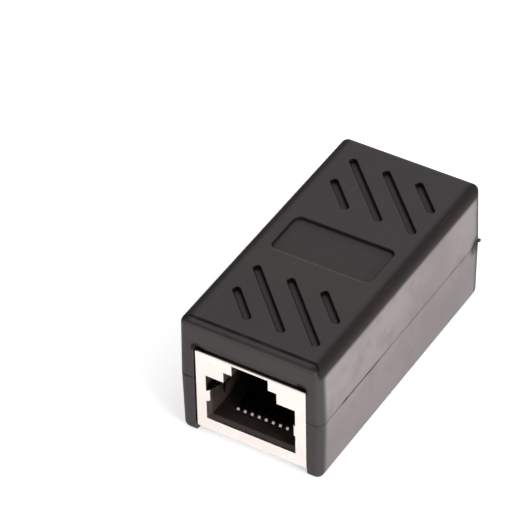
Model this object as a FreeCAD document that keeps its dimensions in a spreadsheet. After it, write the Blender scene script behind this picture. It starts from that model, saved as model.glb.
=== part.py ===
import FreeCAD, Part
import math
import os
from types import SimpleNamespace

import Sketcher
from FreeCAD import Placement, Rotation, Vector

# Inline coupler that joins two shielded 8P8C network cables end to end.
#
# Two moulded shells close on one circuit board that carries two shielded jacks back to back.
# X is the width, Y the length, Z is up. The origin is the middle of the underside.
# The front socket looks towards -Y and the rear socket towards +Y.

# Driving dimensions, in millimetres. Heights and depths of a jack are taken from the
# underside of its shield and from the face of its shield.
SIZES = {
    # folded shield of a jack
    "shield_width": 16.0,
    "shield_height": 12.65,
    "shield_depth": 16.0,
    "shield_sheet": 0.25,
    "bend_radius": 0.3,
    "roof_strip": 5.2,
    "flap_slit": 0.15,
    # stepped socket opening in the shield
    "opening_width": 12.8,
    "opening_sill": 1.95,
    "opening_height": 7.2,
    "shoulder_width": 7.6,
    "shoulder_height": 1.65,
    "channel_width": 5.2,
    # spring fingers folded in from both sides of the opening
    "finger_sill": 4.9,
    "finger_height": 1.7,
    "finger_step": 0.46,
    "finger_bend": 0.34,
    "finger_bulge": 0.7,
    "finger_bulge_radius": 0.8,
    "finger_bulge_depth": 2.5,
    "finger_length": 5.0,
    "finger_tip_back": 0.1,
    "finger_room": 0.25,
    "finger_relief": 1.0,
    # moulded jack housing
    "housing_gap": 0.05,
    "lead_in": 0.4,
    "step_gap": 0.05,
    "comb_wall": 0.8,
    "comb_height": 6.7,
    "catch_depth": 4.2,
    "catch_room_width": 8.2,
    "catch_room_depth": 5.4,
    "peg_diameter": 3.0,
    "peg_side": 1.985,
    "peg_depth": 8.9,
    "peg_gap": 0.1,
    "peg_tail": 0.8,
    # contact wires and the carrier they are moulded into
    "wire_size": 0.4,
    "wire_pitch": 1.02,
    "wire_bevel": 0.2,
    "wire_slot_gap": 0.08,
    "knee_depth": 2.9,
    "knee_radius": 0.55,
    "spring_tip_gap": 0.3,
    "spring_tip_height": 5.9,
    "pin_row_step": 0.5,
    "pin_row_spacing": 2.54,
    "pin_rear_step": 0.96,
    "pin_tail": 0.8,
    "carrier_gap": 0.05,
    "carrier_tongue": 0.95,
    "carrier_tongue_tip": 3.2,
    "tongue_tip_gap": 0.2,
    "carrier_side": 1.2,
    # ground tabs of the shield
    "tab_width": 1.2,
    "tab_depth": 6.6,
    "tab_root": 1.0,
    # circuit board and solder
    "board_thickness": 1.0,
    "board_gap": 0.05,
    "board_side_gap": 0.1,
    "board_end_gap": 0.5,
    "board_notch_gap": 0.1,
    "pin_hole": 0.8,
    "solder_width": 1.5,
    "solder_neck": 0.7,
    "solder_height": 0.5,
    "ground_solder_reach": 0.75,
    # moulded shells
    "side_gap": 0.5,
    "side_wall": 1.7,
    "floor_wall": 1.0,
    "roof_wall": 1.5,
    "end_wall": 1.4,
    "seat_gap": 0.1,
    "head_room": 2.1,
    "plate_inset": 0.15,
    "window_gap": 0.1,
    "floor_notch": 1.6,
    "middle_gap": 8.7,
    "side_draft": 0.2,
    "edge_radius": 1.0,
    "seam_bevel": 0.08,
    "burr_height": 0.4,
    "burr_length": 0.75,
    "burr_waist": 0.35,
    "burr_blunt": 0.15,
    "seam_lip_width": 0.5,
    "seam_lip_height": 0.8,
    "seam_lip_gap": 0.05,
    "stop_rib": 1.0,
    "stop_rib_height": 7.0,
    "guide_rib": 1.2,
    "guide_rib_depth": 13.2,
    "post_diameter": 2.4,
    "post_spacing": 11.0,
    "post_depth": 4.8,
    "locating_rib": 2.0,
    "locating_rib_reach": 0.9,
    # relief along the top of each end window
    "window_bevel_height": 1.1,
    "window_bevel_depth": 0.7,
    "window_relief_width": 1.5,
    "window_relief_height": 0.95,
    "window_relief_depth": 1.1,
    # label recess and grip grooves in the top
    "label_width": 14.6,
    "label_length": 7.0,
    "label_depth": 0.4,
    "label_corner": 1.0,
    "groove_width": 1.15,
    "groove_depth": 0.55,
    "long_groove": 9.6,
    "short_groove": 4.9,
    "groove_pitch": 4.9,
    "groove_group": 12.0,
    "groove_offset": 0.3,
}
CONTACTS = 8
GROOVE_ANGLE = -45.0
DIAGONAL = math.cos(math.radians(GROOVE_ANGLE))
PLACE_TOLERANCE = 1e-4
LEAST_VOLUME = 1e-6

document = FreeCAD.newDocument("inline_coupler")
sheet = document.addObject("Spreadsheet::Sheet", "Dimensions")
for row, (alias, length) in enumerate(SIZES.items(), start=1):
    sheet.set(f"A{row}", alias)
    sheet.set(f"B{row}", str(length))
    sheet.setAlias(f"B{row}", alias)
document.recompute()


class Size:
    """A length that carries its present number and the sheet formula that drives it."""

    def __init__(self, number, formula=None):
        self.number = float(number)
        self.formula = formula or str(float(number))

    def joined(self, other, sign, number):
        return Size(number, f"({self.formula} {sign} {other.formula})")

    def __add__(self, other):
        other = as_size(other)
        return self.joined(other, "+", self.number + other.number)

    def __sub__(self, other):
        other = as_size(other)
        return self.joined(other, "-", self.number - other.number)

    def __mul__(self, other):
        other = as_size(other)
        return self.joined(other, "*", self.number * other.number)

    def __truediv__(self, other):
        other = as_size(other)
        return self.joined(other, "/", self.number / other.number)

    def __neg__(self):
        return Size(-self.number, f"(0 - {self.formula})")

    def __radd__(self, other):
        return as_size(other) + self

    def __rsub__(self, other):
        return as_size(other) - self

    def __rmul__(self, other):
        return as_size(other) * self


def as_size(length):
    return length if isinstance(length, Size) else Size(length)


ZERO = Size(0)
size = SimpleNamespace(**{
    alias: Size(sheet.get(alias), f"Dimensions.{alias}") for alias in SIZES
})


# ---------------------------------------------------------------- sketch and feature helpers

def bind(feature, prop, length):
    """Drive one property of a feature from the sheet."""
    feature.setExpression(prop, as_size(length).formula)


def new_body(label):
    body = document.addObject("PartDesign::Body", label)
    body.Label = label
    return body


def sketch_on(body, name, role, place=ZERO, turn=0.0):
    """New sketch on one of the body's own origin planes, moved along the axis across it."""
    place = as_size(place)
    offset = -place if role == "XZ_Plane" else place
    plane = next(item for item in body.Origin.OriginFeatures if item.Role == role)
    sketch = body.newObject("Sketcher::SketchObject", name)
    sketch.AttachmentSupport = [(plane, "")]
    sketch.MapMode = "FlatFace"
    sketch.AttachmentOffset = Placement(Vector(0, 0, offset.number), Rotation(Vector(0, 0, 1), turn))
    bind(sketch, "AttachmentOffset.Base.z", offset)
    return sketch


def constrain(sketch, length, *terms):
    """Add a constraint whose value follows the sheet."""
    length = as_size(length)
    index = sketch.addConstraint(Sketcher.Constraint(*terms, length.number))
    bind(sketch, f"Constraints[{index}]", length)


def fix_point(sketch, curve, end, point):
    """Tie one point of a curve to its place, measured from the sketch's origin."""
    constrain(sketch, point[0], "DistanceX", -1, 1, curve, end)
    constrain(sketch, point[1], "DistanceY", -1, 1, curve, end)


def vector(point):
    return Vector(as_size(point[0]).number, as_size(point[1]).number, 0)


def add_outline(sketch, points):
    """Closed outline of straight lines through the points."""
    first = sketch.GeometryCount
    count = len(points)
    for index, point in enumerate(points):
        end = points[(index + 1) % count]
        sketch.addGeometry(Part.LineSegment(vector(point), vector(end)))
    for index, point in enumerate(points):
        following = first + (index + 1) % count
        sketch.addConstraint(Sketcher.Constraint("Coincident", first + index, 2, following, 1))
        fix_point(sketch, first + index, 1, point)


def add_rectangle(sketch, left, right, bottom, top):
    add_outline(sketch, [(left, bottom), (right, bottom), (right, top), (left, top)])


def add_octagon(sketch, centre, width):
    """Eight-sided outline, for small round details that repeat."""
    reach = as_size(width) / 2
    short = reach * math.tan(math.pi / 8)
    corners = [(reach, short), (short, reach), (-short, reach), (-reach, short)]
    corners += [(-across, -along) for across, along in corners]
    add_outline(sketch, [(centre[0] + across, centre[1] + along) for across, along in corners])


def add_obround(sketch, centre, reach, width):
    """Slot outline with round ends, its long way along the sketch's X."""
    radius = as_size(width) / 2
    left = (centre[0] - reach / 2, centre[1])
    right = (centre[0] + reach / 2, centre[1])
    up = Vector(0, radius.number, 0)
    normal = Vector(0, 0, 1)
    quarter = math.pi / 2
    circle_left = Part.Circle(vector(left), normal, radius.number)
    circle_right = Part.Circle(vector(right), normal, radius.number)
    top = sketch.addGeometry(Part.LineSegment(vector(right) + up, vector(left) + up))
    end_left = sketch.addGeometry(Part.ArcOfCircle(circle_left, quarter, 3 * quarter))
    bottom = sketch.addGeometry(Part.LineSegment(vector(left) - up, vector(right) - up))
    end_right = sketch.addGeometry(Part.ArcOfCircle(circle_right, -quarter, quarter))
    loop = [top, end_left, bottom, end_right]
    for curve, following in zip(loop, loop[1:] + loop[:1]):
        sketch.addConstraint(Sketcher.Constraint("Tangent", curve, 2, following, 1))
    fix_point(sketch, end_left, 3, left)
    fix_point(sketch, end_right, 3, right)
    constrain(sketch, radius, "Radius", end_left)
    constrain(sketch, radius, "Radius", end_right)


def add_bent_path(sketch, start, bends, end):
    """Straight runs joined by arcs. A bend is its centre, its radius and +1 to turn left or -1 right."""
    stops = [(start, ZERO, 1)] + bends + [(end, ZERO, 1)]
    runs = []
    for (here, radius_here, turn_here), (there, radius_there, turn_there) in zip(stops, stops[1:]):
        across = vector(there) - vector(here)
        reach_here = turn_here * radius_here.number
        reach_there = turn_there * radius_there.number
        side = math.atan2(across.y, across.x) - math.acos((reach_here - reach_there) / across.Length)
        normal = Vector(math.cos(side), math.sin(side), 0)
        runs.append((vector(here) + normal * reach_here, vector(there) + normal * reach_there))
    lines = [sketch.addGeometry(Part.LineSegment(*run)) for run in runs]
    for index, (centre, radius, turn) in enumerate(bends):
        arrive = runs[index][1] - vector(centre)
        leave = runs[index + 1][0] - vector(centre)
        first, last = (arrive, leave) if turn > 0 else (leave, arrive)
        circle = Part.Circle(vector(centre), Vector(0, 0, 1), radius.number)
        angles = math.atan2(first.y, first.x), math.atan2(last.y, last.x)
        arc = sketch.addGeometry(Part.ArcOfCircle(circle, *angles))
        arrive_end, leave_end = (1, 2) if turn > 0 else (2, 1)
        sketch.addConstraint(Sketcher.Constraint("Tangent", lines[index], 2, arc, arrive_end))
        sketch.addConstraint(Sketcher.Constraint("Tangent", arc, leave_end, lines[index + 1], 1))
        fix_point(sketch, arc, 3, centre)
        constrain(sketch, radius, "Radius", arc)
    fix_point(sketch, lines[0], 1, start)
    fix_point(sketch, lines[-1], 2, end)
    return lines[0], lines[-1]


def add_bent_strip(sketch, starts, bends, ends, thickness):
    """Closed edge view of a bent sheet. Starts and ends are pairs: the right side, then the left."""
    sides = []
    for start, end, side in ((starts[0], ends[0], 1), (starts[1], ends[1], -1)):
        side_bends = [
            (centre, radius + side * turn * thickness / 2, turn) for centre, radius, turn in bends
        ]
        sides.append(add_bent_path(sketch, start, side_bends, end))
    (right_first, right_last), (left_first, left_last) = sides
    for pair, right, left, end in (
        (starts, right_first, left_first, 1),
        (ends, right_last, left_last, 2),
    ):
        cap = sketch.addGeometry(Part.LineSegment(vector(pair[0]), vector(pair[1])))
        sketch.addConstraint(Sketcher.Constraint("Coincident", cap, 1, right, end))
        sketch.addConstraint(Sketcher.Constraint("Coincident", cap, 2, left, end))


def extrude(kind, body, sketch, length, reverse=False, symmetric=False):
    """Pad or pocket of a sketch, checked to have changed the body's volume the right way."""
    document.recompute()
    before = 0.0 if body.Shape.isNull() else body.Shape.Volume
    feature = body.newObject(f"PartDesign::{kind}", f"{kind}_{sketch.Name}")
    feature.Profile = sketch
    feature.Length = as_size(length).number
    bind(feature, "Length", length)
    feature.Reversed = reverse
    if symmetric:
        feature.SideType = "Symmetric"
    sketch.Visibility = False
    document.recompute()
    change = body.Shape.Volume - before
    if (change if kind == "Pad" else -change) < LEAST_VOLUME:
        raise ValueError(f"{feature.Name} in {body.Label} changed the volume by {change}")
    return feature


def pad(body, sketch, length, **options):
    return extrude("Pad", body, sketch, length, **options)


def pocket(body, sketch, length, **options):
    return extrude("Pocket", body, sketch, length, **options)


def sweep(body, section, path):
    """First feature of a body: a section swept along a path."""
    document.recompute()
    feature = body.newObject("PartDesign::AdditivePipe", f"Pipe_{path.Name}")
    feature.Profile = section
    feature.Spine = (path, [])
    section.Visibility = False
    path.Visibility = False
    document.recompute()
    if body.Shape.Volume < LEAST_VOLUME:
        raise ValueError(f"{feature.Name} in {body.Label} adds nothing")
    return feature


def edges_where(body, test):
    """Names of the body's edges that pass a test on their two ends and middle."""
    names = []
    for number, edge in enumerate(body.Tip.Shape.Edges, start=1):
        middle = edge.valueAt((edge.FirstParameter + edge.LastParameter) / 2)
        if test([vertex.Point for vertex in edge.Vertexes] + [middle]):
            names.append(f"Edge{number}")
    return names


def dress(kind, body, prop, length, test):
    """Fillet or chamfer of the edges that pass a test."""
    base = body.Tip
    names = edges_where(body, test)
    if not names:
        raise ValueError(f"no edge of {body.Label} takes the {kind}")
    feature = body.newObject(f"PartDesign::{kind}", f"{kind}_{base.Name}")
    feature.Base = (base, names)
    setattr(feature, prop, as_size(length).number)
    bind(feature, prop, length)
    document.recompute()
    return feature


def joined(name, members):
    """Compound of separate solids."""
    group = document.addObject("Part::Compound", name)
    group.Links = members
    return group


def cut_away(label, base, tool):
    """The base less the room that the tool takes up."""
    cut = document.addObject("Part::Cut", label)
    cut.Label = label
    cut.Base = base
    cut.Tool = tool
    return cut


def near(value, target):
    return abs(value - as_size(target).number) < PLACE_TOLERANCE


# ---------------------------------------------------------------- sizes that follow from the sheet

# outside and inside of the closed shells
inner_half_width = size.shield_width / 2 + size.side_gap
half_width = inner_half_width + size.side_wall
half_length = size.middle_gap / 2 + size.shield_depth + size.plate_inset
jack_height = size.floor_wall + size.seat_gap
board_bottom = jack_height + size.shield_height + size.board_gap
board_top = board_bottom + size.board_thickness
roof_inside = board_top + size.head_room
body_height = roof_inside + size.roof_wall
seam_height = body_height / 2
window_half = size.shield_width / 2 + size.window_gap
window_top = jack_height + size.shield_height + size.window_gap
inner_half_length = half_length - size.end_wall
face_distance = half_length - size.plate_inset
board_half_width = inner_half_width - size.board_side_gap
board_half_length = inner_half_length - size.board_end_gap

# inside a jack, from the face and the underside of its shield
tail_top = board_top - jack_height + size.pin_tail
housing_half_width = size.shield_width / 2 - size.shield_sheet - size.housing_gap
housing_bottom = size.shield_sheet + size.housing_gap
housing_top = size.shield_height - size.shield_sheet - size.housing_gap
housing_front = size.shield_sheet + size.housing_gap
housing_rear = size.shield_depth - size.shield_sheet - size.housing_gap
opening_top = size.opening_sill + size.opening_height
shoulder_top = opening_top + size.shoulder_height
cavity_half_width = size.opening_width / 2 - size.lead_in
cavity_floor = size.opening_sill + size.lead_in
far_row_depth = size.shield_depth - size.pin_rear_step
near_row_depth = far_row_depth - size.pin_row_spacing
carrier_front = near_row_depth - size.pin_row_step
cavity_depth = carrier_front - size.comb_wall
carrier_room_half_width = housing_half_width - size.carrier_side
tongue_top = housing_bottom + size.carrier_gap + size.carrier_tongue
tongue_room_half_width = size.wire_pitch * (CONTACTS + 1) / 2
run_height = tongue_top + size.wire_size / 2
wire_slot = size.wire_size + 2 * size.wire_slot_gap
peg_across = housing_half_width - size.peg_side
peg_top = board_top - jack_height + size.peg_tail


def wire_place(number):
    """Distance of a contact wire from the middle of its jack, across the width."""
    return size.wire_pitch * (number - (CONTACTS + 1) / 2)


def pin_depth(number):
    """Depth of a wire's pin in its jack: odd wires in the near row, even ones in the far row."""
    return near_row_depth if number % 2 else far_row_depth


def seat_in_shells(body, end):
    """Place a jack piece, drawn from its own face, at the front or at the rear of the coupler."""
    turn = 0.0 if end == "front" else 180.0
    reach = -face_distance if end == "front" else face_distance
    body.Placement = Placement(Vector(0, reach.number, jack_height.number), Rotation(Vector(0, 0, 1), turn))
    bind(body, "Placement.Base.y", reach)
    bind(body, "Placement.Base.z", jack_height)


def on_board(end, across, depth):
    """Place on the board of a point of a jack, given by its place across and its depth."""
    if end == "front":
        return across, depth - face_distance
    return -across, face_distance - depth


# ---------------------------------------------------------------- moulded shells

def shell_block(body, bottom, top, bottom_half_width, top_half_width):
    """Half of the outer form: drafted sides, all outer edges rounded but those on the seam."""
    section = sketch_on(body, f"{body.Label}_section", "XZ_Plane", -half_length)
    add_outline(section, [
        (-bottom_half_width, bottom),
        (bottom_half_width, bottom),
        (top_half_width, top),
        (-top_half_width, top),
    ])
    pad(body, section, 2 * half_length, reverse=True)
    dress("Fillet", body, "Radius", size.edge_radius,
          lambda points: not all(near(point.z, seam_height) for point in points))


def bevel_seam(body):
    """Fine bevel all round the outside of the seam."""
    corner_x = half_width.number - size.edge_radius.number - PLACE_TOLERANCE
    corner_y = half_length.number - size.edge_radius.number - PLACE_TOLERANCE

    def outside(point):
        on_side = near(abs(point.x), half_width) or near(abs(point.y), half_length)
        in_corner = abs(point.x) > corner_x and abs(point.y) > corner_y
        return near(point.z, seam_height) and (on_side or in_corner)

    dress("Chamfer", body, "Size", size.seam_bevel, lambda points: all(outside(point) for point in points))


def seam_strips(sketch, gap):
    """The two long strips, one in each side wall, where the shells' lip and groove meet."""
    middle = inner_half_width + size.side_wall / 2
    inside = middle - size.seam_lip_width / 2 - gap
    outside = middle + size.seam_lip_width / 2 + gap
    reach = inner_half_length + gap
    add_rectangle(sketch, inside, outside, -reach, reach)
    add_rectangle(sketch, -outside, -inside, -reach, reach)


def lower_shell():
    body = new_body("lower_shell")
    shell_block(body, ZERO, seam_height, half_width - size.side_draft, half_width)

    hollow = sketch_on(body, "lower_hollow", "XY_Plane", seam_height)
    add_rectangle(hollow, -inner_half_width, inner_half_width, -inner_half_length, inner_half_length)
    pocket(body, hollow, seam_height - size.floor_wall)

    window = sketch_on(body, "lower_windows", "XZ_Plane", -half_length)
    add_rectangle(window, -window_half, window_half, size.floor_wall, seam_height)
    pocket(body, window, 2 * half_length)

    # the floor stops short of each shield's face, so that its lower edge stays free
    notches = sketch_on(body, "floor_notches", "XY_Plane", size.floor_wall)
    notch_end = half_length - size.floor_notch
    add_rectangle(notches, -window_half, window_half, notch_end, half_length)
    add_rectangle(notches, -window_half, window_half, -half_length, -notch_end)
    pocket(body, notches, size.floor_wall)
    bevel_seam(body)

    lip = sketch_on(body, "seam_lip", "XY_Plane", seam_height)
    seam_strips(lip, ZERO)
    pad(body, lip, size.seam_lip_height)

    # ribs that take the push of a plug behind each jack
    rib_outer = size.middle_gap / 2 - size.seat_gap
    rib_inner = rib_outer - size.stop_rib
    stops = sketch_on(body, "stop_ribs", "XY_Plane", size.floor_wall)
    add_rectangle(stops, -inner_half_width, inner_half_width, rib_inner, rib_outer)
    add_rectangle(stops, -inner_half_width, inner_half_width, -rib_outer, -rib_inner)
    pad(body, stops, size.stop_rib_height)

    # ribs that guide the rear of each jack between the side walls
    guides = sketch_on(body, "guide_ribs", "XY_Plane", size.floor_wall)
    near_end = face_distance - size.guide_rib_depth - size.guide_rib / 2
    for side in (-1, 1):
        for end in (-1, 1):
            add_outline(guides, [
                (side * window_half, end * near_end),
                (side * inner_half_width, end * near_end),
                (side * inner_half_width, end * (near_end + size.guide_rib)),
                (side * window_half, end * (near_end + size.guide_rib)),
            ])
    pad(body, guides, size.stop_rib_height)

    # moulding burr on one rear corner, just under the seam
    burr_top = seam_height - size.seam_bevel
    burr = sketch_on(body, "burr", "XY_Plane", burr_top)
    add_outline(burr, [
        (half_width - size.burr_waist, half_length - size.burr_length),
        (half_width, half_length - size.burr_blunt),
        (half_width, half_length),
        (half_width - size.burr_blunt, half_length),
        (half_width - size.burr_length, half_length - size.burr_waist),
    ])
    pad(body, burr, size.burr_height, reverse=True)
    return body


def upper_shell():
    body = new_body("upper_shell")
    shell_block(body, seam_height, body_height, half_width, half_width - size.side_draft)

    hollow = sketch_on(body, "upper_hollow", "XY_Plane", roof_inside)
    add_rectangle(hollow, -inner_half_width, inner_half_width, -inner_half_length, inner_half_length)
    pocket(body, hollow, roof_inside - seam_height)

    window = sketch_on(body, "upper_windows", "XZ_Plane", -half_length)
    add_rectangle(window, -window_half, window_half, seam_height, window_top)
    pocket(body, window, 2 * half_length)

    # sloped relief over each window, with a deeper pocket at both of its ends
    bevel_half_width = window_half - size.window_relief_width
    slope = sketch_on(body, "window_slopes", "YZ_Plane")
    corner_top = window_top + size.window_relief_height
    corners = sketch_on(body, "window_corners", "XY_Plane", corner_top)
    for end in (-1, 1):
        add_outline(slope, [
            (end * half_length, window_top),
            (end * (half_length - size.window_bevel_depth), window_top),
            (end * half_length, window_top + size.window_bevel_height),
        ])
        for side in (-1, 1):
            add_outline(corners, [
                (side * bevel_half_width, end * half_length),
                (side * window_half, end * half_length),
                (side * window_half, end * (half_length - size.window_relief_depth)),
                (side * bevel_half_width, end * (half_length - size.window_relief_depth)),
            ])
    pocket(body, slope, 2 * bevel_half_width, symmetric=True)
    pocket(body, corners, size.window_relief_height)

    label = sketch_on(body, "label_recess", "XY_Plane", body_height)
    label_half_width = size.label_width / 2
    label_half_length = size.label_length / 2
    add_rectangle(label, -label_half_width, label_half_width, -label_half_length, label_half_length)
    pocket(body, label, size.label_depth)
    dress("Fillet", body, "Radius", size.label_corner, lambda points: all(
        near(abs(point.x), label_half_width) and near(abs(point.y), label_half_length) for point in points))

    grip_grooves(body)

    seam = sketch_on(body, "seam_groove", "XY_Plane", seam_height)
    seam_strips(seam, size.seam_lip_gap)
    pocket(body, seam, size.seam_lip_height + size.seam_lip_gap, reverse=True)
    bevel_seam(body)

    # posts that hold the board down on the jacks
    post_bottom = board_top + size.seat_gap
    posts = sketch_on(body, "board_posts", "XY_Plane", post_bottom)
    post_end = face_distance - size.post_depth
    for across in (size.post_spacing / 2, -size.post_spacing / 2):
        for along in (-post_end, ZERO, post_end):
            add_octagon(posts, (across, along), size.post_diameter)
    pad(body, posts, roof_inside - post_bottom)

    # ribs that enter the board's side notches and fix it along the length
    rib_bottom = board_bottom - size.board_thickness / 2
    ribs = sketch_on(body, "locating_ribs", "XY_Plane", rib_bottom)
    rib_half = size.locating_rib / 2
    rib_inside = inner_half_width - size.locating_rib_reach
    add_rectangle(ribs, rib_inside, inner_half_width, -rib_half, rib_half)
    add_rectangle(ribs, -inner_half_width, -rib_inside, -rib_half, rib_half)
    pad(body, ribs, roof_inside - rib_bottom)
    return body


def grip_grooves(body):
    """Two groups of four blind slanted grooves, one on each side of the label recess."""
    long_reach = (size.long_groove - size.groove_width) / DIAGONAL
    short_reach = (size.short_groove - size.groove_width) / DIAGONAL
    short_shift = (size.long_groove - size.short_groove) / 2
    grooves = sketch_on(body, "grip_grooves", "XY_Plane", body_height, turn=GROOVE_ANGLE)
    for along in (-size.groove_group, size.groove_group):
        for side in (-1, 1):
            long_across = size.groove_offset + side * size.groove_pitch / 2
            short_across = size.groove_offset + side * size.groove_pitch
            add_obround(grooves, turned(long_across, along), long_reach, size.groove_width)
            add_obround(grooves, turned(short_across, along + side * short_shift), short_reach,
                        size.groove_width)
    pocket(body, grooves, size.groove_depth)


def turned(across, along):
    """A place on the top, given in the axes that follow the slanted grooves."""
    return (across - along) * DIAGONAL, (across + along) * DIAGONAL


# ---------------------------------------------------------------- pieces of a jack

def folded_shield(end):
    """Shield folded from one sheet: face, floor, sides, short roof and rear flap."""
    body = new_body(f"{end}_shield")
    half = size.shield_width / 2
    inside = half - size.shield_sheet
    section = sketch_on(body, f"{end}_shield_section", "XY_Plane")
    add_rectangle(section, -half, half, ZERO, size.shield_depth)
    pad(body, section, size.shield_height)
    dress("Fillet", body, "Radius", size.bend_radius,
          lambda points: not all(near(point.y, size.shield_depth) for point in points))

    hollow = sketch_on(body, f"{end}_shield_hollow", "XY_Plane", size.shield_height - size.shield_sheet)
    add_rectangle(hollow, -inside, inside, size.shield_sheet, size.shield_depth - size.shield_sheet)
    pocket(body, hollow, size.shield_height - 2 * size.shield_sheet)

    roof = sketch_on(body, f"{end}_shield_roof", "XY_Plane", size.shield_height)
    add_rectangle(roof, -inside, inside, size.roof_strip, size.shield_depth - size.shield_sheet)
    pocket(body, roof, size.shield_sheet)

    opening = sketch_on(body, f"{end}_shield_opening", "XZ_Plane")
    add_outline(opening, stepped_opening(
        size.opening_width / 2,
        size.shoulder_width / 2,
        size.channel_width / 2,
        size.opening_sill,
        size.shield_height - size.shield_sheet,
    ))
    pocket(body, opening, 2 * size.shield_sheet)

    slits = sketch_on(body, f"{end}_flap_slits", "XY_Plane", size.shield_height)
    flap_half = inside - size.flap_slit
    flap_front = size.shield_depth - size.shield_sheet
    add_rectangle(slits, flap_half, inside, flap_front, size.shield_depth)
    add_rectangle(slits, -inside, -flap_half, flap_front, size.shield_depth)
    pocket(body, slits, size.shield_height - 3 * size.shield_sheet)

    tab_bottom = size.shield_height - size.tab_root
    tabs = sketch_on(body, f"{end}_ground_tabs", "XY_Plane", tab_bottom)
    tab_front = size.tab_depth - size.tab_width / 2
    add_rectangle(tabs, inside, half, tab_front, tab_front + size.tab_width)
    add_rectangle(tabs, -half, -inside, tab_front, tab_front + size.tab_width)
    pad(body, tabs, tail_top - tab_bottom)
    spring_fingers(body, end)
    seat_in_shells(body, end)
    return body


def stepped_opening(half_main, half_shoulder, half_channel, bottom, top):
    """Outline of the socket: main cavity, latch shoulders and latch channel, seen from the front."""
    right = [
        (half_main, bottom),
        (half_main, opening_top),
        (half_shoulder, opening_top),
        (half_shoulder, shoulder_top),
        (half_channel, shoulder_top),
        (half_channel, top),
    ]
    return right + [(-across, height) for across, height in reversed(right)]


def spring_fingers(body, end):
    """Fingers folded in from both side edges of the opening, bowed towards the plug."""
    edge = size.opening_width / 2
    half_sheet = size.shield_sheet / 2
    folded = edge - size.finger_step + half_sheet
    bulge_centre = folded - size.finger_bulge + size.finger_bulge_radius
    tip = edge + size.finger_tip_back
    fingers = sketch_on(body, f"{end}_fingers", "XY_Plane", size.finger_sill)
    for side in (-1, 1):
        bends = [
            ((side * (folded + size.finger_bend), half_sheet + size.finger_bend), size.finger_bend, -side),
            ((side * bulge_centre, size.finger_bulge_depth), size.finger_bulge_radius, -side),
        ]
        starts = [(side * edge, ZERO), (side * edge, size.shield_sheet)]
        ends = [
            (side * (tip - half_sheet), size.finger_length),
            (side * (tip + half_sheet), size.finger_length),
        ]
        if side > 0:
            starts.reverse()
            ends.reverse()
        add_bent_strip(fingers, starts, bends, ends, size.shield_sheet)
    pad(body, fingers, size.finger_height)


def jack_housing(end):
    """Moulded housing inside a shield, with the socket cavity and a comb for the wires."""
    body = new_body(f"{end}_jack_housing")
    block = sketch_on(body, f"{end}_housing_block", "XZ_Plane", housing_front)
    add_rectangle(block, -housing_half_width, housing_half_width, housing_bottom, housing_top)
    pad(body, block, housing_rear - housing_front, reverse=True)

    above = housing_top + size.lead_in
    cavity = sketch_on(body, f"{end}_cavity", "XZ_Plane", housing_front)
    add_outline(cavity, stepped_opening(
        cavity_half_width,
        size.shoulder_width / 2 - size.step_gap,
        size.channel_width / 2 - size.step_gap,
        cavity_floor,
        above,
    ))
    pocket(body, cavity, cavity_depth - housing_front)
    dress("Chamfer", body, "Size", size.lead_in, lambda points: all(
        near(point.y, housing_front)
        and abs(point.x) < cavity_half_width.number + PLACE_TOLERANCE
        and cavity_floor.number - PLACE_TOLERANCE < point.z < opening_top.number + PLACE_TOLERANCE
        for point in points
    ) and not all(near(point.z, opening_top) for point in points))

    catches = sketch_on(body, f"{end}_latch_room", "XZ_Plane", size.catch_depth)
    half_room = size.catch_room_width / 2
    add_rectangle(catches, -half_room, half_room, opening_top, above)
    pocket(body, catches, size.catch_room_depth)

    below = housing_bottom - size.lead_in
    carrier_room = sketch_on(body, f"{end}_carrier_room", "XZ_Plane", carrier_front)
    add_rectangle(carrier_room, -carrier_room_half_width, carrier_room_half_width, below, above)
    pocket(body, carrier_room, housing_rear - carrier_front)

    tongue_front = size.carrier_tongue_tip - size.tongue_tip_gap
    tongue_room = sketch_on(body, f"{end}_tongue_room", "XZ_Plane", tongue_front)
    add_rectangle(tongue_room, -tongue_room_half_width, tongue_room_half_width, below,
                  tongue_top + size.carrier_gap)
    pocket(body, tongue_room, carrier_front - tongue_front)

    finger_rooms = sketch_on(body, f"{end}_finger_rooms", "XY_Plane", opening_top)
    room_side = cavity_half_width + size.finger_relief
    room_rear = size.finger_length + size.finger_room
    inside = cavity_half_width - size.lead_in
    add_rectangle(finger_rooms, inside, room_side, housing_front, room_rear)
    add_rectangle(finger_rooms, -room_side, -inside, housing_front, room_rear)
    pocket(body, finger_rooms, opening_top - size.finger_sill + size.finger_room)

    pegs = sketch_on(body, f"{end}_pegs", "XY_Plane", housing_top)
    for across in (peg_across, -peg_across):
        add_octagon(pegs, (across, size.peg_depth), size.peg_diameter)
    pad(body, pegs, peg_top - housing_top)
    wire_slots(body, end)
    seat_in_shells(body, end)
    return body


def wire_slots(body, end):
    """One slot for each wire, through the cavity's floor and up its rear wall as a comb."""
    slot = sketch_on(body, f"{end}_wire_slot", "YZ_Plane", wire_place(1))
    front = size.knee_depth - size.wire_size / 2 - size.finger_room
    bottom = tongue_top - size.carrier_gap
    overlap = size.carrier_gap
    add_outline(slot, [
        (front, bottom),
        (carrier_front + overlap, bottom),
        (carrier_front + overlap, size.comb_height),
        (cavity_depth - overlap, size.comb_height),
        (cavity_depth - overlap, cavity_floor + overlap),
        (front, cavity_floor + overlap),
    ])
    cut = pocket(body, slot, wire_slot, symmetric=True)
    axis = next(item for item in body.Origin.OriginFeatures if item.Role == "X_Axis")
    comb = body.newObject("PartDesign::LinearPattern", f"{end}_wire_slots")
    comb.Originals = [cut]
    comb.Direction = (axis, [""])
    comb.Occurrences = CONTACTS
    comb.Length = (size.wire_pitch * (CONTACTS - 1)).number
    bind(comb, "Length", size.wire_pitch * (CONTACTS - 1))
    body.Tip = comb
    document.recompute()


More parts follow.
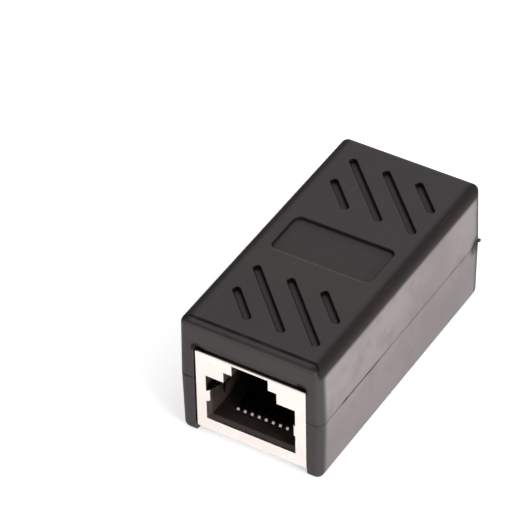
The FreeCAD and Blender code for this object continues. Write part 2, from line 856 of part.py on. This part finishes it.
def contact_wire(end, number):
    """Bent wire: pin through the board, run under the cavity, knee and slanted spring."""
    body = new_body(f"{end}_contact_{number}")
    across = wire_place(number)
    depth = pin_depth(number)
    half = size.wire_size / 2
    run_bottom = run_height - half
    section = sketch_on(body, f"{end}_wire_section_{number}", "XZ_Plane", depth)
    add_rectangle(section, across - half, across + half, run_bottom, run_height + half)
    path = sketch_on(body, f"{end}_wire_path_{number}", "YZ_Plane", across)
    knee = (size.knee_depth + size.knee_radius, run_height + size.knee_radius)
    tip = (cavity_depth + size.spring_tip_gap, size.spring_tip_height)
    add_bent_path(path, (depth, run_height), [(knee, size.knee_radius, -1)], tip)
    sweep(body, section, path)

    pin = sketch_on(body, f"{end}_wire_pin_{number}", "XY_Plane", run_bottom)
    add_rectangle(pin, across - half, across + half, depth - half, depth + half)
    pad(body, pin, tail_top - run_bottom)
    dress("Chamfer", body, "Size", size.wire_bevel, lambda points: all(
        near(point.y, depth + half) and near(point.z, run_bottom) for point in points))
    seat_in_shells(body, end)
    return body


def contact_carrier(end, wire_set):
    """Block and tongue moulded round the wires, pushed into the housing from behind."""
    blank = new_body(f"{end}_carrier_blank")
    block_front = carrier_front + size.carrier_gap
    block_half = carrier_room_half_width - size.carrier_gap
    bottom = housing_bottom + size.carrier_gap
    block = sketch_on(blank, f"{end}_carrier_block", "XZ_Plane", block_front)
    add_rectangle(block, -block_half, block_half, bottom, housing_top - size.carrier_gap)
    pad(blank, block, housing_rear - size.carrier_gap - block_front, reverse=True)

    tongue_half = tongue_room_half_width - size.carrier_gap
    tongue = sketch_on(blank, f"{end}_carrier_tongue", "XZ_Plane", size.carrier_tongue_tip)
    add_rectangle(tongue, -tongue_half, tongue_half, bottom, tongue_top)
    pad(blank, tongue, block_front - size.carrier_tongue_tip, reverse=True)
    seat_in_shells(blank, end)

    return cut_away(f"{end}_contact_carrier", blank, wire_set)


# ---------------------------------------------------------------- board and solder

def circuit_board():
    body = new_body("circuit_board")
    outline = sketch_on(body, "board_outline", "XY_Plane", board_bottom)
    add_rectangle(outline, -board_half_width, board_half_width, -board_half_length, board_half_length)
    pad(body, outline, size.board_thickness)

    notches = sketch_on(body, "board_notches", "XY_Plane", board_top)
    gap = size.board_notch_gap
    rib_half = size.locating_rib / 2 + gap
    rib_inside = inner_half_width - size.locating_rib_reach - gap
    tab_inside = size.shield_width / 2 - size.shield_sheet - gap
    tab_half = size.tab_width / 2 + gap
    tab_along = face_distance - size.tab_depth
    for inside, along, half in (
        (rib_inside, ZERO, rib_half),
        (tab_inside, tab_along, tab_half),
        (tab_inside, -tab_along, tab_half),
    ):
        add_rectangle(notches, inside, inner_half_width, along - half, along + half)
        add_rectangle(notches, -inner_half_width, -inside, along - half, along + half)
    pocket(body, notches, size.board_thickness)

    holes = sketch_on(body, "board_holes", "XY_Plane", board_top)
    for end in ("front", "rear"):
        for side in (-1, 1):
            peg = on_board(end, side * peg_across, size.peg_depth)
            add_octagon(holes, peg, size.peg_diameter + 2 * size.peg_gap)
        for number in range(1, CONTACTS + 1):
            add_octagon(holes, on_board(end, wire_place(number), pin_depth(number)), size.pin_hole)
    pocket(body, holes, size.board_thickness)
    return body


def solder_ring(name, place, height, width):
    """Eight-sided level of a solder cone."""
    ring = document.addObject("Part::RegularPolygon", name)
    ring.Polygon = 8
    bind(ring, "Circumradius", width / 2)
    bind(ring, "Placement.Base.x", place[0])
    bind(ring, "Placement.Base.y", place[1])
    bind(ring, "Placement.Base.z", height)
    return ring


def signal_solder(end, wire_set):
    """Solder cones round the eight pins of one jack, on top of the board."""
    cones = []
    for number in range(1, CONTACTS + 1):
        place = on_board(end, wire_place(number), pin_depth(number))
        neck_height = board_top + size.solder_height
        foot = solder_ring(f"{end}_solder_foot_{number}", place, board_top, size.solder_width)
        neck = solder_ring(f"{end}_solder_neck_{number}", place, neck_height, size.solder_neck)
        cone = document.addObject("Part::Loft", f"{end}_solder_cone_{number}")
        cone.Sections = [foot, neck]
        cone.Solid = True
        cone.Ruled = True
        cones.append(cone)
    return cut_away(f"{end}_signal_solder", joined(f"{end}_solder_cones", cones), wire_set)


def ground_solder():
    """Solder fillets that join the four ground tabs to the board."""
    body = new_body("ground_solder")
    body.AllowCompound = True
    tab_face = size.shield_width / 2 - size.shield_sheet
    toe = tab_face - size.ground_solder_reach
    tab_along = face_distance - size.tab_depth
    for name, along in (("front_ground_fillets", -tab_along), ("rear_ground_fillets", tab_along)):
        fillets = sketch_on(body, name, "XZ_Plane", along)
        for side in (1, -1):
            add_outline(fillets, [
                (side * toe, board_top),
                (side * tab_face, board_top),
                (side * tab_face, board_top + size.ground_solder_reach),
            ])
        pad(body, fillets, size.tab_width, symmetric=True)
    return body


# ---------------------------------------------------------------- the whole coupler

pieces = [lower_shell(), upper_shell(), circuit_board()]
for end in ("front", "rear"):
    wires = [contact_wire(end, number) for number in range(1, CONTACTS + 1)]
    wire_set = joined(f"{end}_wires", wires)
    pieces += [folded_shield(end), jack_housing(end), contact_carrier(end, wire_set)]
    pieces += [signal_solder(end, wire_set)] + wires
pieces.append(ground_solder())
document.recompute()

for item in document.Objects:
    if "Invalid" in item.State or "Error" in item.State:
        raise ValueError(f"{item.Label} failed: {item.State}")
for piece in pieces:
    if piece.Shape.isNull() or not piece.Shape.isValid():
        raise ValueError(f"{piece.Label} has no valid shape")

os.makedirs("parts", exist_ok=True)
for piece in pieces:
    piece.Shape.exportStep(os.path.join("parts", f"{piece.Label}.step"))
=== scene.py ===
import math

import bpy
from mathutils import Matrix, Vector


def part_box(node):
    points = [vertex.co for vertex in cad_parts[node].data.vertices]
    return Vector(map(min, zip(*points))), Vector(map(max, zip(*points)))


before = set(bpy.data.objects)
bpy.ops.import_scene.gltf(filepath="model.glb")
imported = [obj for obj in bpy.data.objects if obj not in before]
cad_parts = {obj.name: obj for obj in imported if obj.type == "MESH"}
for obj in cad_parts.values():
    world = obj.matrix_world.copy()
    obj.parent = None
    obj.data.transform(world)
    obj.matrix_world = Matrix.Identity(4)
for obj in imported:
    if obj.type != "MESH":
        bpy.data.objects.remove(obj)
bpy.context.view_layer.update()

# Inline coupler for network cables: two black moulded shells round two shielded sockets.
# Lengths are in metres. X is the width, Y the length, Z is up, the front socket looks towards -Y.

MM = 0.001

case_low, case_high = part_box("upper_shell")
SEAM_HEIGHT = case_low.z
HALF_WIDTH = case_high.x
HALF_LENGTH = case_high.y
TOP = case_high.z

# from the middle of the case to the knees of the contact wires, and from one wire to the next
first_wire_low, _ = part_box("front_contact_1")
second_wire_low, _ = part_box("front_contact_2")
KNEE = -first_wire_low.y
WIRE_PITCH = second_wire_low.x - first_wire_low.x

# upper edge of the end windows, and how far from the middle the painted shade over its corners lies
WINDOW_TOP = 13.85 * MM
WINDOW_CORNER = 7.4 * MM

# how far in front of the middle of the top the label recess's front rim and a brown stain lie
LABEL_FRONT = 3.55 * MM
STAIN_PLACE = 5.5 * MM

# how far behind the front face two mould witness lines lie, and how far from each side the first
# turns forward
FIRST_WITNESS = 1.1 * MM
SECOND_WITNESS = 0.3 * MM
WITNESS_TURN = 1.3 * MM

SMEAR_PLACE = (HALF_WIDTH, HALF_LENGTH - 1.5 * MM, SEAM_HEIGHT - 0.1 * MM)


# ---------------------------------------------------------------- materials

def colour(red, green, blue):
    """Screen colour, 0 to 255, as the linear colour that a shader takes."""
    linear = [((part / 255 + 0.055) / 1.055) ** 2.4 for part in (red, green, blue)]
    return (*linear, 1.0)


class Finish:
    """A node-based material: short calls that add a node and join it up."""

    def __init__(self, name):
        self.material = bpy.data.materials.new(name)
        self.material.use_nodes = True
        self.tree = self.material.node_tree
        self.shader = self.tree.nodes["Principled BSDF"]
        self.place = self.add("ShaderNodeTexCoord").outputs["Object"]

    def add(self, kind, **values):
        node = self.tree.nodes.new(kind)
        for key, value in values.items():
            setattr(node, key, value)
        return node

    def put(self, socket, value):
        """Join an output to a socket, or set a plain value on it."""
        if isinstance(value, bpy.types.NodeSocket):
            self.tree.links.new(value, socket)
        else:
            socket.default_value = value

    def add_joined(self, kind, source):
        node = self.add(kind)
        self.put(node.inputs[0], source)
        return node

    def set(self, **values):
        """Settle sockets of the shader, written with _ for the spaces in their names."""
        for name, value in values.items():
            self.put(self.shader.inputs[name.replace("_", " ")], value)

    # sums

    def math(self, operation, first, second=0.0):
        node = self.add("ShaderNodeMath", operation=operation)
        self.put(node.inputs[0], first)
        self.put(node.inputs[1], second)
        return node.outputs[0]

    def plus(self, first, second):
        return self.math("ADD", first, second)

    def minus(self, first, second):
        return self.math("SUBTRACT", first, second)

    def times(self, first, second):
        return self.math("MULTIPLY", first, second)

    def most(self, first, second):
        return self.math("MAXIMUM", first, second)

    def either_side(self, value):
        """The value without its sign."""
        return self.math("ABSOLUTE", value)

    def ramp(self, value, low, high, start=0.0, end=1.0):
        """The value carried from low..high to start..end, held at both ends."""
        node = self.add("ShaderNodeMapRange", interpolation_type="SMOOTHSTEP")
        self.put(node.inputs["Value"], value)
        node.inputs["From Min"].default_value = low
        node.inputs["From Max"].default_value = high
        node.inputs["To Min"].default_value = start
        node.inputs["To Max"].default_value = end
        return node.outputs[0]

    # places and patterns

    def axes(self):
        return self.add_joined("ShaderNodeSeparateXYZ", self.place).outputs

    def stretched(self, scale, turn=(0.0, 0.0, 0.0)):
        node = self.add_joined("ShaderNodeMapping", self.place)
        node.inputs["Scale"].default_value = scale
        node.inputs["Rotation"].default_value = turn
        return node.outputs[0]

    def noise(self, size, detail=3.0, place=None):
        """Noise from 0 to 1 whose features are about size metres across."""
        node = self.add("ShaderNodeTexNoise")
        self.put(node.inputs["Vector"], place or self.place)
        node.inputs["Scale"].default_value = 1.0 / size
        node.inputs["Detail"].default_value = detail
        return node.outputs["Fac"]

    def patches(self, size, detail, low, high, start=0.0, end=1.0):
        """Patches of noise: start where the noise is under low, end where it is over high."""
        return self.ramp(self.noise(size, detail), low, high, start, end)

    def open_air(self, reach):
        """1 on open surfaces, towards 0 in corners and grooves narrower than the reach."""
        node = self.add("ShaderNodeAmbientOcclusion", samples=8)
        node.inputs["Distance"].default_value = reach
        return node.outputs["AO"]

    # colour and surface

    def blend(self, amount, first, second):
        """A colour mix: its node has the two colours at inputs 6 and 7 and the mix at output 2."""
        node = self.add("ShaderNodeMix", data_type="RGBA")
        self.put(node.inputs[0], amount)
        self.put(node.inputs[6], first)
        self.put(node.inputs[7], second)
        return node.outputs[2]

    def soft_edges(self, radius):
        node = self.add("ShaderNodeBevel", samples=6)
        node.inputs["Radius"].default_value = radius
        return node.outputs[0]

    def relief(self, height, depth, strength, base=None):
        node = self.add("ShaderNodeBump")
        node.inputs["Strength"].default_value = strength
        node.inputs["Distance"].default_value = depth
        self.put(node.inputs["Height"], height)
        if base is not None:
            self.put(node.inputs["Normal"], base)
        return node.outputs[0]


class CaseFinish(Finish):
    """The shells' finish: black grain, over which each mark is laid in turn."""

    def __init__(self, name):
        super().__init__(name)
        x, self.y, self.z = self.axes()
        self.across = self.either_side(x)
        self.along = self.either_side(self.y)
        self.on_top = self.ramp(self.z, TOP - 1.3 * MM, TOP - 0.8 * MM)
        self.below_edge = self.ramp(self.z, TOP - 2.2 * MM, TOP - 1.2 * MM, 1.0, 0.0)
        self.on_end = self.ramp(self.along, HALF_LENGTH - 0.5 * MM, HALF_LENGTH - 0.05 * MM)
        self.cloud = self.patches(6 * MM, 4.0, 0.3, 0.7)
        self.paint = self.blend(self.cloud, colour(36, 31, 32), colour(44, 38, 39))

    def cover(self, amount, paint):
        """Lay a paint over the colour so far, the more the nearer the amount is to 1."""
        self.paint = self.blend(amount, self.paint, paint)
        return amount

    def brown_stain(self):
        """A brown stain on the top, between the front grooves and the label."""
        away = self.either_side(self.plus(self.y, STAIN_PLACE))
        away = self.plus(away, self.times(self.noise(5 * MM, 3.0), 5 * MM))
        self.cover(self.ramp(away, 4 * MM, 7 * MM, 0.8, 0.0), colour(43, 38, 31))

    def painted_recess_shade(self):
        """Painted shade: all below the top's flat is a little darker, which shows in the label recess and
        the grooves.
        """
        self.cover(self.ramp(self.z, TOP - 0.3 * MM, TOP - 0.1 * MM, 0.3, 0.0), colour(24, 20, 20))

    def painted_end_light(self):
        """Painted light: the end faces carry the grain slightly paler than the top, which stands in for
        the light on them.
        """
        self.cover(self.on_end, self.blend(self.cloud, colour(46, 41, 41), colour(54, 48, 48)))

    def painted_side_sheen(self):
        """Painted sheen: the sides carry a coarser grain painted much paler, palest in patches of their
        upper half.
        """
        outward = self.ramp(self.across, HALF_WIDTH - 0.75 * MM, HALF_WIDTH - 0.3 * MM)
        inside_ends = self.ramp(self.along, HALF_LENGTH - 1.8 * MM, HALF_LENGTH - 0.7 * MM, 1.0, 0.0)
        on_side = self.times(self.times(self.below_edge, outward), inside_ends)
        # painted sheen: the pale side colours and their paler upper patches stand in for light
        grain = self.blend(self.cloud, colour(87, 81, 81), colour(96, 89, 90))
        upper = self.ramp(self.z, 4 * MM, 14 * MM)
        painted_light_patch = self.times(upper, self.patches(14 * MM, 1.0, 0.3, 0.6, 0.3, 0.9))
        grain = self.blend(painted_light_patch, grain, colour(106, 99, 99))
        blotches = self.patches(3 * MM, 3.0, 0.5, 0.7, 0.0, 0.45)
        self.cover(on_side, self.blend(blotches, grain, colour(84, 76, 78)))

    def painted_edge_shade(self):
        """Painted shade: a darker band round both long top edges."""
        past_flat = self.ramp(self.across, HALF_WIDTH - 2.0 * MM, HALF_WIDTH - 0.8 * MM, 0.0, 0.75)
        edge_shade = self.times(past_flat, self.minus(1.0, self.below_edge))
        edge_shade = self.times(edge_shade, self.minus(1.0, self.on_end))
        return self.cover(edge_shade, colour(22, 19, 19))

    def painted_groove_shade(self):
        """Painted shade in the corners of the grip grooves and of the label recess."""
        shade_in_hollows = self.times(self.ramp(self.open_air(0.6 * MM), 0.6, 0.93, 1.0, 0.0), self.on_top)
        self.cover(self.times(shade_in_hollows, 0.85), colour(22, 18, 17))
        return shade_in_hollows

    def painted_rim_highlight(self):
        """Painted highlight along the label recess's front rim."""
        off_rim = self.either_side(self.plus(self.y, LABEL_FRONT))
        rim_highlight = self.times(self.ramp(off_rim, 0.1 * MM, 0.4 * MM, 1.0, 0.0), self.on_top)
        rim_highlight = self.times(rim_highlight, self.ramp(self.across, 6.0 * MM, 7.2 * MM, 0.6, 0.0))
        self.cover(rim_highlight, colour(66, 61, 60))

    def window_shade(self):
        """Brown shade above the end windows, darker at their upper corners."""
        near_end = self.ramp(self.along, HALF_LENGTH - 1.4 * MM, HALF_LENGTH - 1.15 * MM)
        over = self.ramp(self.z, WINDOW_TOP + 0.4 * MM, WINDOW_TOP + 1.9 * MM, 0.65, 0.0)
        over = self.times(over, self.ramp(self.z, WINDOW_TOP - 0.2 * MM, WINDOW_TOP))
        over = self.times(over, self.ramp(self.across, 7.6 * MM, 8.4 * MM, 1.0, 0.0))
        to_corner = self.minus(self.across, WINDOW_CORNER)
        above_corner = self.minus(self.z, WINDOW_TOP + 0.5 * MM)
        squares = self.plus(self.math("POWER", to_corner, 2.0), self.math("POWER", above_corner, 2.0))
        pocket = self.ramp(self.math("SQRT", squares), 0.6 * MM, 1.2 * MM, 0.95, 0.0)
        shade = self.times(self.most(over, pocket), near_end)
        return self.cover(shade, colour(25, 20, 17))

    def witness_lines(self):
        """Two lines of a mould insert behind the front face: the first turns forward to the corners."""
        from_front = self.plus(self.y, HALF_LENGTH)
        past_turn = self.most(self.minus(self.across, HALF_WIDTH - WITNESS_TURN), 0.0)
        off_first = self.either_side(self.minus(from_front, self.minus(FIRST_WITNESS, past_turn)))
        first = self.ramp(off_first, 0.1 * MM, 0.42 * MM, 0.9, 0.0)
        off_second = self.either_side(self.minus(from_front, SECOND_WITNESS))
        second = self.ramp(off_second, 0.04 * MM, 0.2 * MM, 0.5, 0.0)
        lines = self.times(self.most(first, second), self.patches(2.5 * MM, 2.0, 0.35, 0.6, 0.8, 1.0))
        return self.cover(self.times(lines, self.on_top), colour(14, 12, 12))

    def seam_dirt(self):
        """Dust and oil held in parts of the seam."""
        wander = self.times(self.minus(self.noise(3 * MM, 2.0), 0.5), 0.1 * MM)
        off_seam = self.either_side(self.plus(self.minus(self.z, SEAM_HEIGHT), wander))
        off_seam = self.minus(off_seam, self.patches(2 * MM, 2.0, 0.4, 0.7, 0.0, 0.1 * MM))
        held = self.patches(7 * MM, 2.0, 0.42, 0.6, 0.25, 0.8)
        seam = self.times(self.ramp(off_seam, 0.1 * MM, 0.2 * MM, 1.0, 0.0), held)
        return self.cover(seam, colour(26, 23, 23))

    def burr_smear(self):
        """A smear beside the burr on one rear corner."""
        away = self.add("ShaderNodeVectorMath", operation="DISTANCE")
        self.put(away.inputs[0], self.place)
        away.inputs[1].default_value = SMEAR_PLACE
        smear = self.times(self.ramp(away.outputs["Value"], 0.5 * MM, 1.9 * MM, 0.9, 0.0),
                           self.patches(1.2 * MM, 2.0, 0.35, 0.55, 0.7, 1.0))
        return self.cover(smear, colour(30, 29, 25))

    def scuffs(self):
        """Faint scuffs, long along the case."""
        place = self.stretched((1.0, 0.12, 1.0), (0.0, 0.0, 0.3))
        scuff = self.ramp(self.noise(0.7 * MM, 5.0, place), 0.66, 0.78)
        self.cover(self.times(scuff, 0.2), colour(92, 86, 85))
        return scuff


def shell_plastic():
    """Satin black moulding with painted light and shade, rougher where scuffed and with hardly any sheen
    where dirt or painted shade lies.
    """
    case = CaseFinish("satin_black_moulding")
    case.brown_stain()
    case.painted_recess_shade()
    case.painted_end_light()
    case.painted_side_sheen()
    edge_shade = case.painted_edge_shade()
    shade_in_hollows = case.painted_groove_shade()
    case.painted_rim_highlight()
    shade = case.window_shade()
    witness = case.witness_lines()
    seam = case.seam_dirt()
    smear = case.burr_smear()
    scuff = case.scuffs()

    # dirt and painted shade together: the sheen is cut where either lies
    dirt_and_shade = shade_in_hollows
    for mark in (shade, witness, seam, smear, edge_shade):
        dirt_and_shade = case.most(dirt_and_shade, mark)
    uneven = case.plus(case.times(case.cloud, 0.08), case.times(scuff, 0.12))
    height = case.minus(case.times(case.noise(0.16 * MM, 2.0), 0.12), witness)
    case.set(
        Base_Color=case.paint,
        Roughness=case.plus(uneven, 0.56),
        IOR=1.38,
        Specular_IOR_Level=case.ramp(dirt_and_shade, 0.0, 1.0, 0.5, 0.06),
        Normal=case.relief(height, 0.08 * MM, 0.6, case.soft_edges(0.14 * MM)),
    )
    return case.material


def housing_plastic():
    """Smooth black moulding of the sockets, plainer than the case."""
    finish = Finish("socket_moulding")
    flow = finish.noise(2.5 * MM, 3.0)
    finish.set(
        Base_Color=finish.blend(finish.ramp(flow, 0.3, 0.7), colour(37, 29, 26), colour(45, 36, 32)),
        Roughness=finish.ramp(flow, 0.3, 0.7, 0.5, 0.6),
        Specular_IOR_Level=0.3,
        Normal=finish.relief(finish.noise(0.2 * MM), 0.01 * MM, 0.4, finish.soft_edges(0.06 * MM)),
    )
    return finish.material


def shield_nickel():
    """Bright nickel on rolled sheet, with faint handling haze, and painted shade inside the socket."""
    finish = Finish("nickel_plated_sheet")
    along = finish.either_side(finish.axes()["Y"])
    outside = finish.ramp(along, HALF_LENGTH - 0.6 * MM, HALF_LENGTH - 0.35 * MM)
    rolled = finish.noise(0.5 * MM, 3.0, finish.stretched((0.05, 1.0, 1.0)))
    haze = finish.patches(3 * MM, 3.0, 0.3, 0.75)
    bright = finish.blend(haze, colour(241, 233, 228), colour(235, 226, 220))
    sheen = finish.plus(finish.times(haze, 0.05), finish.times(rolled, 0.05))
    finish.set(
        # painted shade: inside the socket the sheet is painted dark
        Base_Color=finish.blend(outside, colour(128, 118, 110), bright),
        Metallic=1.0,
        Roughness=finish.plus(sheen, 0.24),
        Normal=finish.relief(rolled, 0.002 * MM, 0.25, finish.soft_edges(0.05 * MM)),
    )
    return finish.material


def contact_plating():
    """Spring wire with a painted highlight where a plug rubs the middle of its knee, and painted shade
    elsewhere.
    """
    finish = Finish("plated_spring_wire")
    x, y, _ = finish.axes()
    wire_places = finish.math("FRACT", finish.math("DIVIDE", x, WIRE_PITCH))
    off_middle = finish.either_side(finish.minus(wire_places, 0.5))
    at_knee = finish.ramp(finish.either_side(y), KNEE - 0.34 * MM, KNEE - 0.16 * MM)
    # painted highlight at the middle of each knee
    painted_light_patch = finish.times(finish.ramp(off_middle, 0.12, 0.24, 1.0, 0.0), at_knee)
    wear = finish.noise(0.4 * MM, 3.0)
    # painted shade: the rest of the wire is painted near black
    shaded_wire = finish.blend(finish.ramp(wear, 0.3, 0.7), colour(15, 12, 11), colour(10, 9, 8))
    finish.set(
        Base_Color=finish.blend(painted_light_patch, shaded_wire, colour(182, 175, 170)),
        Metallic=1.0,
        Roughness=finish.ramp(painted_light_patch, 0.0, 1.0, 0.5, 0.3),
        Normal=finish.relief(wear, 0.005 * MM, 0.4, finish.soft_edges(0.05 * MM)),
    )
    return finish.material


def board_laminate():
    """Green solder mask over woven glass laminate."""
    finish = Finish("green_board_laminate")
    weave = finish.add("ShaderNodeTexWave", wave_type="BANDS", bands_direction="X")
    finish.put(weave.inputs["Vector"], finish.place)
    weave.inputs["Scale"].default_value = 1.0 / (0.5 * MM)
    finish.set(
        Base_Color=finish.blend(finish.noise(2 * MM), colour(20, 92, 52), colour(28, 108, 62)),
        Roughness=0.35,
        Normal=finish.relief(weave.outputs["Fac"], 0.004 * MM, 0.3),
    )
    return finish.material


def solder_metal():
    """Bright solder with a slightly uneven surface."""
    finish = Finish("bright_solder")
    wear = finish.noise(0.5 * MM, 3.0)
    finish.set(
        Base_Color=finish.blend(finish.ramp(wear, 0.3, 0.7), colour(200, 200, 202), colour(176, 177, 180)),
        Metallic=1.0,
        Roughness=finish.ramp(wear, 0.3, 0.7, 0.26, 0.36),
        Normal=finish.relief(wear, 0.005 * MM, 0.4, finish.soft_edges(0.05 * MM)),
    )
    return finish.material


# The first word found in a piece's name tells its finish, so a carrier comes before a contact.
socket_moulding = housing_plastic()
FINISHES = {
    "shell": shell_plastic(),
    "shield": shield_nickel(),
    "solder": solder_metal(),
    "board": board_laminate(),
    "housing": socket_moulding,
    "carrier": socket_moulding,
    "contact": contact_plating(),
}


def finish_of(node):
    for word, material in FINISHES.items():
        if word in node:
            return material
    raise ValueError(f"no finish for {node}")


for node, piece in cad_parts.items():
    for material_slot in piece.material_slots:
        material_slot.link = "OBJECT"
        material_slot.material = finish_of(node)


# ---------------------------------------------------------------- floor and world

FLOOR_SIZE = 2.0
FLOOR_PAINT = (0.8, 0.8, 0.8, 1.0)
FLOOR_GLOW = 0.5
SKY_COLOUR = (1.0, 1.0, 1.0, 1.0)
SKY_LIGHT = 0.4
SKY_SEEN = 1.0


def seen_directly(tree):
    """1 for what the camera sees itself, in metal or through glass, and 0 for the light on the object."""
    path = tree.nodes.new("ShaderNodeLightPath")
    seen = path.outputs["Is Camera Ray"]
    for ray in ("Is Glossy Ray", "Is Transmission Ray"):
        either = tree.nodes.new("ShaderNodeMath")
        either.operation = "MAXIMUM"
        tree.links.new(seen, either.inputs[0])
        tree.links.new(path.outputs[ray], either.inputs[1])
        seen = either.outputs[0]
    return seen


def pale_floor():
    """Plain pale floor that keeps the coupler's shadow and is seen as white elsewhere."""
    material = bpy.data.materials.new("pale_floor")
    material.use_nodes = True
    tree = material.node_tree
    tree.nodes.clear()
    paint = tree.nodes.new("ShaderNodeBsdfDiffuse")
    paint.inputs["Color"].default_value = FLOOR_PAINT
    strength = tree.nodes.new("ShaderNodeMath")
    strength.operation = "MULTIPLY"
    strength.inputs[1].default_value = FLOOR_GLOW
    tree.links.new(seen_directly(tree), strength.inputs[0])
    glow = tree.nodes.new("ShaderNodeEmission")
    tree.links.new(strength.outputs[0], glow.inputs["Strength"])
    both = tree.nodes.new("ShaderNodeAddShader")
    tree.links.new(paint.outputs[0], both.inputs[0])
    tree.links.new(glow.outputs[0], both.inputs[1])
    out = tree.nodes.new("ShaderNodeOutputMaterial")
    tree.links.new(both.outputs[0], out.inputs["Surface"])
    return material


def studio_world():
    """Even pale sky that lights the object weakly and is seen as white."""
    world = bpy.data.worlds.new("studio")
    world.use_nodes = True
    tree = world.node_tree
    sky = tree.nodes["Background"]
    sky.inputs["Color"].default_value = SKY_COLOUR
    strength = tree.nodes.new("ShaderNodeMapRange")
    strength.inputs["To Min"].default_value = SKY_LIGHT
    strength.inputs["To Max"].default_value = SKY_SEEN
    tree.links.new(seen_directly(tree), strength.inputs["Value"])
    tree.links.new(strength.outputs[0], sky.inputs["Strength"])
    return world


bpy.ops.mesh.primitive_plane_add(size=FLOOR_SIZE, location=(0.0, 0.0, 0.0))
floor = bpy.context.active_object
floor.name = "floor"
floor.data.materials.append(pale_floor())
bpy.context.scene.world = studio_world()


# ---------------------------------------------------------------- lamps

LIT_PLACE = (0.0, 0.0, 9 * MM)
SOFT_BOXES = (
    {"name": "right_soft_box", "place": (0.37, -0.12, 0.05), "width": 0.20, "watts": 3.6},
    {"name": "high_soft_box", "place": (0.12, 0.20, 0.42), "width": 0.30, "watts": 0.7},
    {"name": "left_soft_box", "place": (-0.36, -0.20, 0.10), "width": 0.24, "watts": 0.5},
)


def soft_box(name, place, width, watts):
    """A square lamp that faces the middle of the coupler."""
    lamp = bpy.data.lights.new(name, "AREA")
    lamp.shape = "SQUARE"
    lamp.size = width
    lamp.energy = watts
    holder = bpy.data.objects.new(name, lamp)
    bpy.context.scene.collection.objects.link(holder)
    holder.location = place
    holder.rotation_euler = (Vector(LIT_PLACE) - Vector(place)).to_track_quat("-Z", "Y").to_euler()


for box in SOFT_BOXES:
    soft_box(**box)


# ---------------------------------------------------------------- camera

# The camera stands in front, to the right and above. The frame's origin, which is the middle of the
# case's underside, lies this far to the right of the middle of its view and above it.
TURN = math.radians(31.823)
RISE = math.radians(40.851)
ROLL = math.radians(-1.323)
DISTANCE = 440.033 * MM
ASIDE = 9.403 * MM
ABOVE = -13.188 * MM
NEAREST = 10 * MM

# in millimetres, as a camera takes them
SENSOR_WIDTH = 36.0
LENS_LENGTH = 237.547315

back = Vector((math.sin(TURN) * math.cos(RISE), -math.cos(TURN) * math.cos(RISE), math.sin(RISE)))
level = Vector((math.cos(TURN), math.sin(TURN), 0.0))
upright = back.cross(level)
right = math.cos(ROLL) * level + math.sin(ROLL) * upright
up = -math.sin(ROLL) * level + math.cos(ROLL) * upright

lens = bpy.data.cameras.new("camera")
lens.sensor_width = SENSOR_WIDTH
lens.lens = LENS_LENGTH
lens.clip_start = NEAREST
camera = bpy.data.objects.new("camera", lens)
bpy.context.scene.collection.objects.link(camera)
facing = Matrix((right, up, back)).transposed().to_4x4()
camera.matrix_world = Matrix.Translation(DISTANCE * back - ASIDE * right - ABOVE * up) @ facing
bpy.context.scene.camera = camera
bpy.context.scene.view_settings.view_transform = "Standard"
